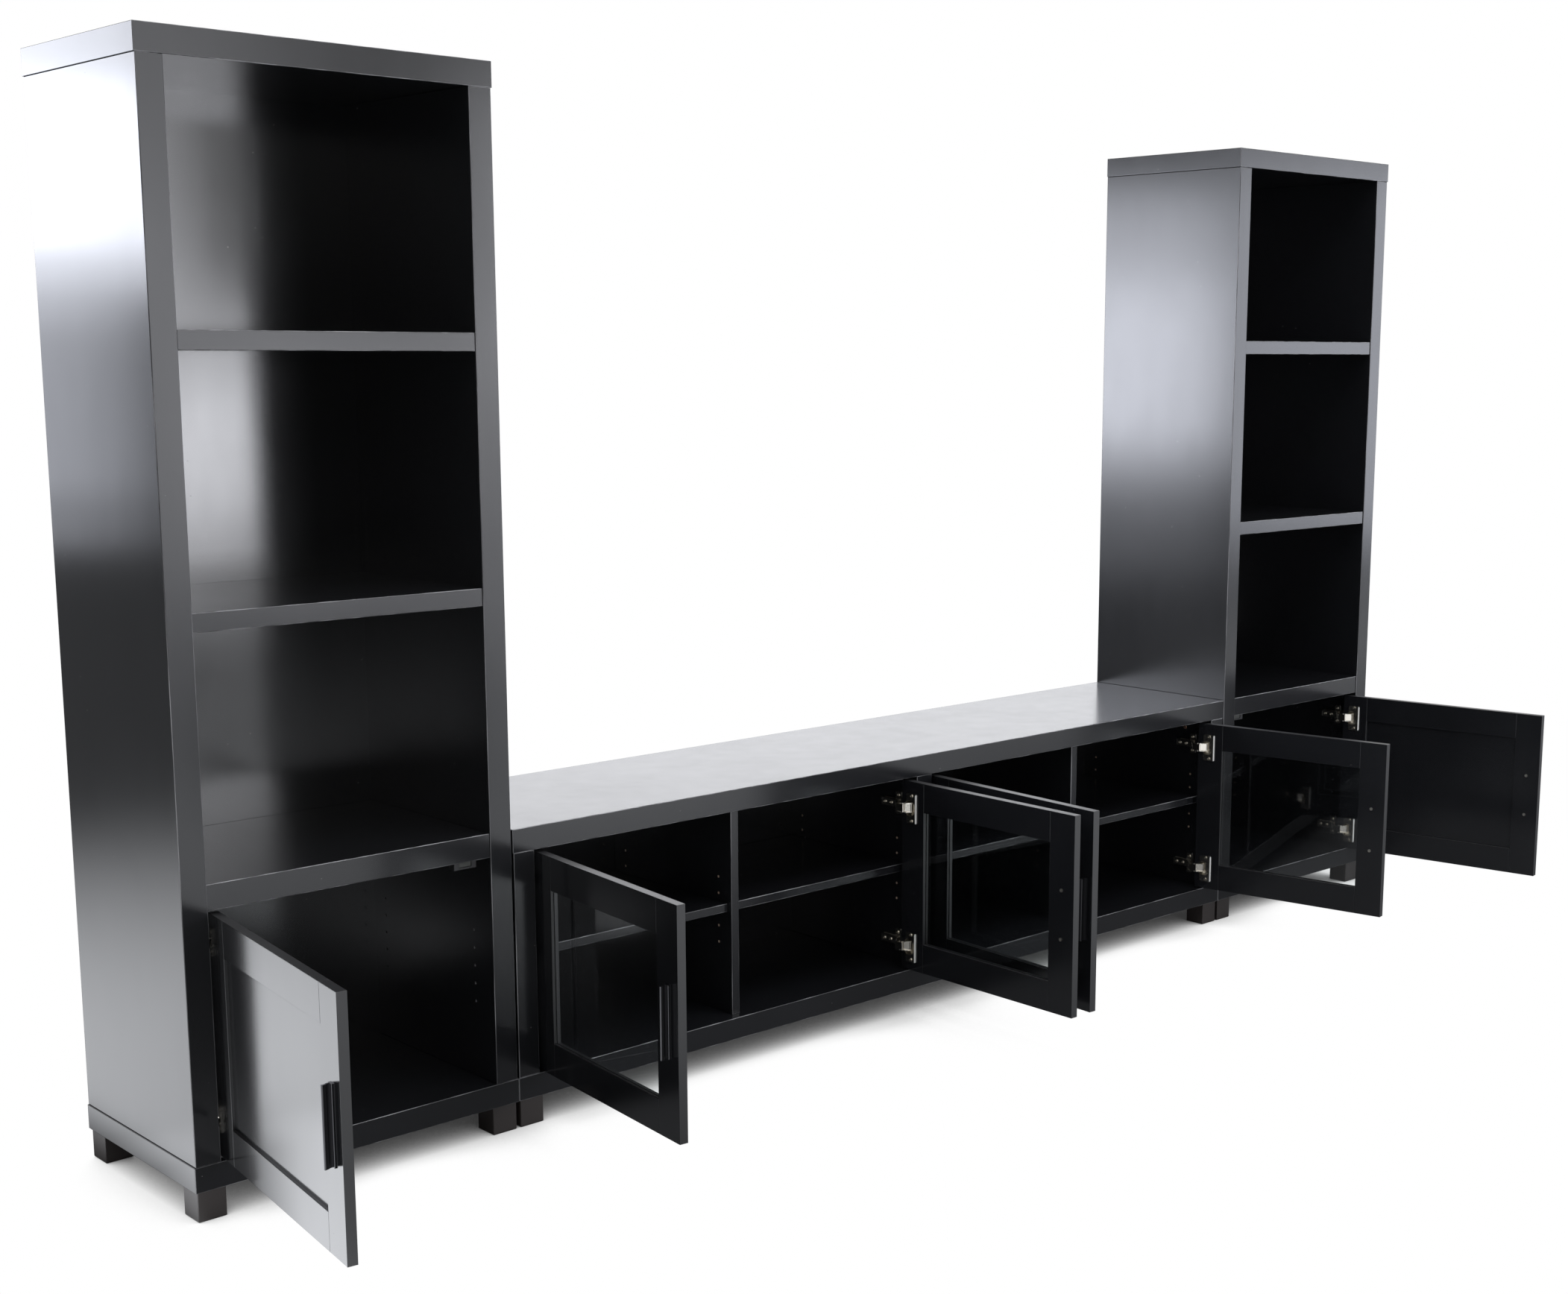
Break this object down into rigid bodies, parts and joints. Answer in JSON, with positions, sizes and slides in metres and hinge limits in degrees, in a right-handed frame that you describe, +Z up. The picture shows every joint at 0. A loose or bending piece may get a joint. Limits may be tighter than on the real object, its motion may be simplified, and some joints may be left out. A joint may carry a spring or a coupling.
{
  "type": "media cabinet",
  "caption": "Black lacquered living-room wall unit: low console with hinged glass doors between two shelf towers that each have a hinged panel door.",
  "frame": {"origin": "on the floor, in the middle of the width, and in the middle of the depth taken with the doors open as at rest; the sides' fronts stand at Y = +48.1 mm", "axes": "+X to the right seen from the front, +Y towards the wall behind, +Z up; the fronts face -Y"},
  "size_m": [3.2628, 0.8761, 1.8],
  "materials": {
    "black_lacquer": "satin",
    "foot_lacquer": "satin",
    "door_panel_lacquer": "satin",
    "smoked_glass": "polished",
    "handle_metal": "satin",
    "nickel": "satin",
    "catch_plastic": "matte",
    "copper": "satin"
  },
  "bodies": {
    "root": {"left_tower_top": "black_lacquer", "left_tower_outer_side": "black_lacquer", "left_tower_inner_side": "black_lacquer", "left_tower_back": "black_lacquer", "left_tower_open_shelves": "black_lacquer", "left_tower_fixed_shelf": "black_lacquer", "left_tower_base": "black_lacquer", "left_tower_feet": "foot_lacquer", "left_tower_catch": "catch_plastic", "left_tower_hinge_arms": "nickel", "right_tower_top": "black_lacquer", "right_tower_outer_side": "black_lacquer", "right_tower_inner_side": "black_lacquer", "right_tower_back": "black_lacquer", "right_tower_open_shelves": "black_lacquer", "right_tower_fixed_shelf": "black_lacquer", "right_tower_base": "black_lacquer", "right_tower_feet": "foot_lacquer", "right_tower_catch": "catch_plastic", "right_tower_hinge_arms": "nickel", "console_top": "black_lacquer", "console_left_side": "black_lacquer", "console_right_side": "black_lacquer", "console_divider": "black_lacquer", "console_left_partition": "black_lacquer", "console_right_partition": "black_lacquer", "console_back": "black_lacquer", "console_base": "black_lacquer", "console_feet": "foot_lacquer", "console_shelves": "black_lacquer", "console_shelf_pins": "nickel", "console_bolt_caps": "copper", "console_hinge_arms": "nickel"},
    "left_tower_door": {"left_tower_door_frame": "black_lacquer", "left_tower_door_panel": "door_panel_lacquer", "left_tower_door_handle": "handle_metal", "left_tower_door_hinge_cups": "nickel"},
    "right_tower_door": {"right_tower_door_frame": "black_lacquer", "right_tower_door_panel": "door_panel_lacquer", "right_tower_door_handle": "handle_metal", "right_tower_door_hinge_cups": "nickel"},
    "glass_door_1": {"glass_door_1_frame": "black_lacquer", "glass_door_1_pane": "smoked_glass", "glass_door_1_handle": "handle_metal", "glass_door_1_hinge_cups": "nickel"},
    "glass_door_2": {"glass_door_2_frame": "black_lacquer", "glass_door_2_pane": "smoked_glass", "glass_door_2_handle": "handle_metal", "glass_door_2_hinge_cups": "nickel"},
    "glass_door_3": {"glass_door_3_frame": "black_lacquer", "glass_door_3_pane": "smoked_glass", "glass_door_3_handle": "handle_metal", "glass_door_3_hinge_cups": "nickel"},
    "glass_door_4": {"glass_door_4_frame": "black_lacquer", "glass_door_4_pane": "smoked_glass", "glass_door_4_handle": "handle_metal", "glass_door_4_hinge_cups": "nickel"}
  },
  "joints": [
    {"name": "left_tower_door_swing", "type": "hinge", "parent": "root", "child": "left_tower_door", "pos_m": [-1.543, 0.05556, 0.2925], "axis": [0, 0, -1], "range_deg": [-97.5, 12.5]},
    {"name": "glass_door_1_swing", "type": "hinge", "parent": "root", "child": "glass_door_1", "pos_m": [-0.9425, 0.05556, 0.2925], "axis": [0, 0, -1], "range_deg": [-96, 14]},
    {"name": "glass_door_2_swing", "type": "hinge", "parent": "root", "child": "glass_door_2", "pos_m": [-0.0345, 0.05556, 0.2925], "axis": [0, 0, 1], "range_deg": [-89.5, 0]},
    {"name": "glass_door_3_swing", "type": "hinge", "parent": "root", "child": "glass_door_3", "pos_m": [0.0345, 0.05556, 0.2925], "axis": [0, 0, -1], "range_deg": [-93, 0]},
    {"name": "glass_door_4_swing", "type": "hinge", "parent": "root", "child": "glass_door_4", "pos_m": [0.9425, 0.05556, 0.2925], "axis": [0, 0, 1], "range_deg": [-100, 10]},
    {"name": "right_tower_door_swing", "type": "hinge", "parent": "root", "child": "right_tower_door", "pos_m": [1.543, 0.05556, 0.2925], "axis": [0, 0, 1], "range_deg": [-99, 11]}
  ]
}
